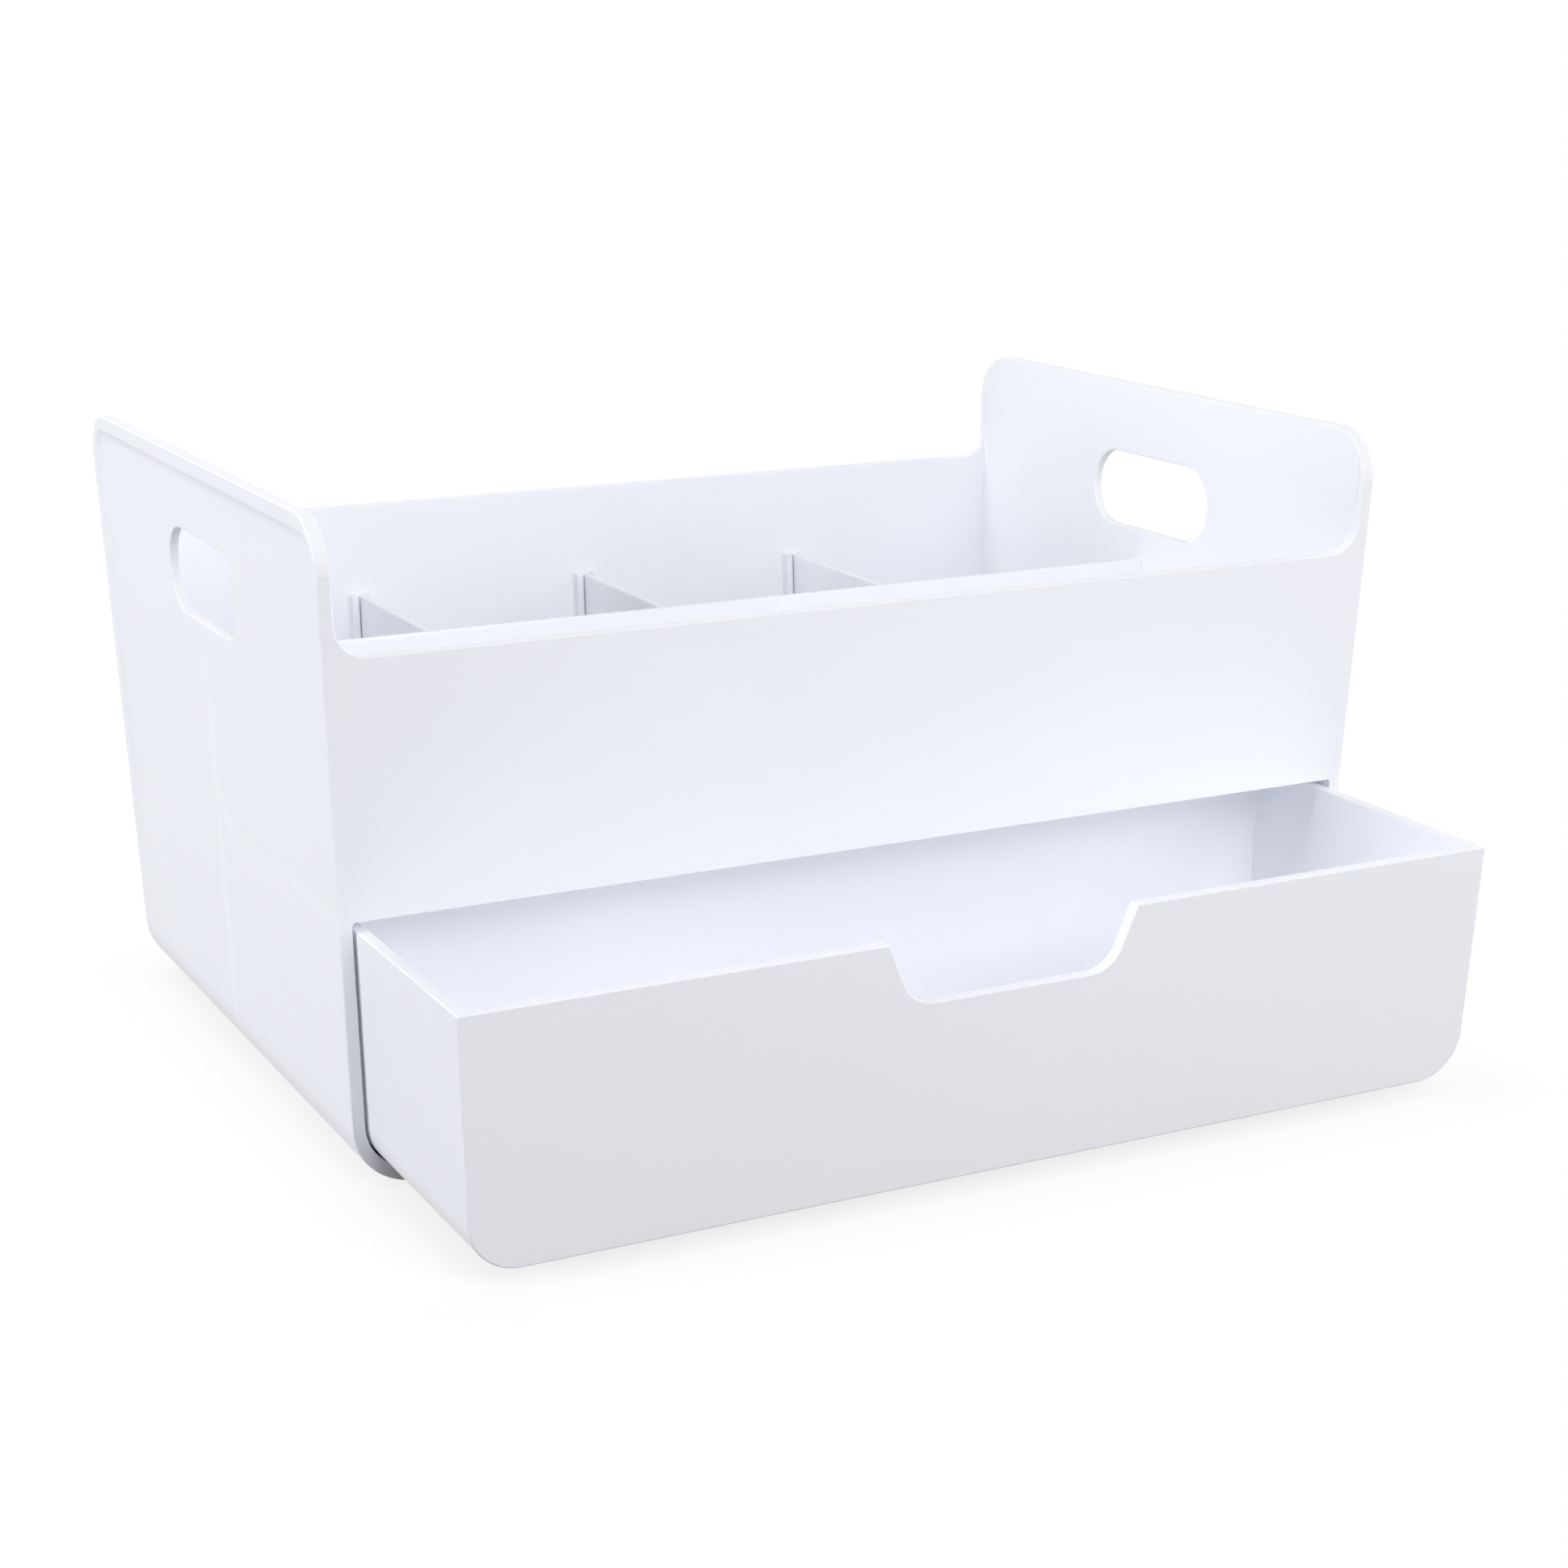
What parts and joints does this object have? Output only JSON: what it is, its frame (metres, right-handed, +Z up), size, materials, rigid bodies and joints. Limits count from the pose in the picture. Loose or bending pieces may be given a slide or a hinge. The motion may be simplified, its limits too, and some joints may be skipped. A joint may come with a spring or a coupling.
{
  "type": "desk caddy",
  "caption": "Open-topped desk caddy with tall side panels and hand slots, a front tray over a pull-out drawer with a finger notch, and a rear trough split into bins by lift-out dividers.",
  "frame": {"origin": "middle of the flat base, on the surface that the caddy stands on", "axes": "+X runs to the right across the front, +Y runs to the back, +Z is up"},
  "size_m": [0.3, 0.2654, 0.167],
  "materials": {
    "body_plastic": "satin",
    "drawer_plastic": "satin",
    "divider_plastic": "satin"
  },
  "bodies": {
    "caddy_body": {"body": "body_plastic"},
    "drawer": {"drawer": "drawer_plastic"},
    "divider_left": {"divider_left": "divider_plastic"},
    "divider_centre": {"divider_centre": "divider_plastic"},
    "divider_right": {"divider_right": "divider_plastic"}
  },
  "joints": [
    {"name": "drawer_slide", "type": "slide", "parent": "caddy_body", "child": "drawer", "axis": [0, -1, 0], "range_m": [-0.067, 0.02]},
    {"name": "divider_left_lift", "type": "slide", "parent": "caddy_body", "child": "divider_left", "axis": [0, 0, 1], "range_m": [0, 0.135]},
    {"name": "divider_centre_lift", "type": "slide", "parent": "caddy_body", "child": "divider_centre", "axis": [0, 0, 1], "range_m": [0, 0.135]},
    {"name": "divider_right_lift", "type": "slide", "parent": "caddy_body", "child": "divider_right", "axis": [0, 0, 1], "range_m": [0, 0.135]}
  ]
}
